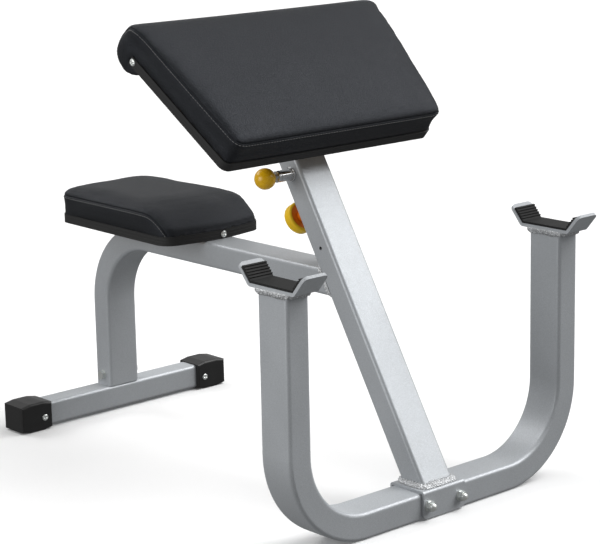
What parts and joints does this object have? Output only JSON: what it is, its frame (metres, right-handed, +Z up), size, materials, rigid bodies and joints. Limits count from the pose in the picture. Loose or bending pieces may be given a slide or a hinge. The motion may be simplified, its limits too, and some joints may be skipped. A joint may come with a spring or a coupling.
{
  "type": "preacher curl bench",
  "caption": "Preacher curl bench: a sloped arm pad on a sliding post tube above a U-shaped rack frame with open bar cradles, and a padded seat on a bent beam with rubber-booted feet.",
  "frame": {"origin": "on the floor, under the middle of the rack frame's bottom bar", "axes": "+X along the bar that rests in the cradles, +Y from the rack to the seat, +Z up"},
  "size_m": [0.729, 1.0493, 0.8737],
  "materials": {
    "frame_paint": "silver metallic powder coat",
    "bracket_paint": "black powder coat",
    "vinyl": "grained black vinyl",
    "edge_trim": "matte",
    "board": "plywood",
    "rubber": "satin",
    "black_plastic": "matte",
    "chrome": "polished",
    "zinc": "zinc plated",
    "ball_yellow": "glossy",
    "knob_orange": "glossy"
  },
  "bodies": {
    "frame": {"boot_screws": "zinc", "clamp_nut": "frame_paint", "foot_bar": "frame_paint", "front_post": "frame_paint", "left_bar_cradle": "frame_paint", "left_cradle_liner": "rubber", "left_foot_boot": "rubber", "leg_bolt": "zinc", "leg_nut": "zinc", "leg_spigot": "frame_paint", "leg_washers": "zinc", "pin_barrel": "chrome", "pin_barrel_cap": "chrome", "pin_spring": "zinc", "post_bush": "black_plastic", "post_saddle": "frame_paint", "rack_frame": "frame_paint", "right_bar_cradle": "frame_paint", "right_cradle_liner": "rubber", "right_foot_boot": "rubber", "saddle_bolts": "zinc", "saddle_cap_nuts": "zinc", "saddle_washers": "zinc", "seat_beam": "frame_paint", "seat_board": "board", "seat_bolts": "zinc", "seat_cushion": "vinyl", "seat_tee_nuts": "zinc", "seat_trim": "edge_trim", "seat_trim_screw": "zinc", "seat_washers": "zinc"},
    "arm_pad": {"pad_tube": "chrome", "pad_tube_glide": "black_plastic", "pad_tube_cap": "black_plastic", "pad_bracket": "bracket_paint", "pad_board": "board", "pad_trim": "edge_trim", "pad_cushion": "vinyl", "pad_bolts": "zinc", "pad_washers": "zinc", "pad_tee_nuts": "zinc", "pad_trim_screws": "zinc"},
    "pull_pin": {"pull_pin": "chrome", "ball_knob": "ball_yellow"},
    "clamp_shoe": {"clamp_shoe": "zinc"},
    "clamp_knob": {"clamp_screw": "zinc", "hand_knob": "knob_orange"}
  },
  "joints": [
    {"name": "pad_slide", "type": "slide", "parent": "frame", "child": "arm_pad", "axis": [0, 0.5075, 0.8616], "range_m": [0, 0.15]},
    {"name": "pin_slide", "type": "slide", "parent": "frame", "child": "pull_pin", "axis": [1, 0, 0], "range_m": [0, 0.006], "stiffness_N_per_m": 400, "springref_m": 0.01, "deforming": ["pin_spring"]},
    {"name": "clamp_feed", "type": "slide", "parent": "frame", "child": "clamp_shoe", "axis": [0, 0.8616, -0.5075], "range_m": [0, 0.0035]},
    {"name": "clamp_turn", "type": "hinge", "parent": "clamp_shoe", "child": "clamp_knob", "pos_m": [0, 0.27788, 0.52674], "axis": [0, 0.8616, -0.5075], "range_deg": [0, 720]}
  ],
  "couplings": [
    {"joint": "clamp_feed", "follows": "clamp_turn", "m_per_rad": 0.00027852}
  ]
}
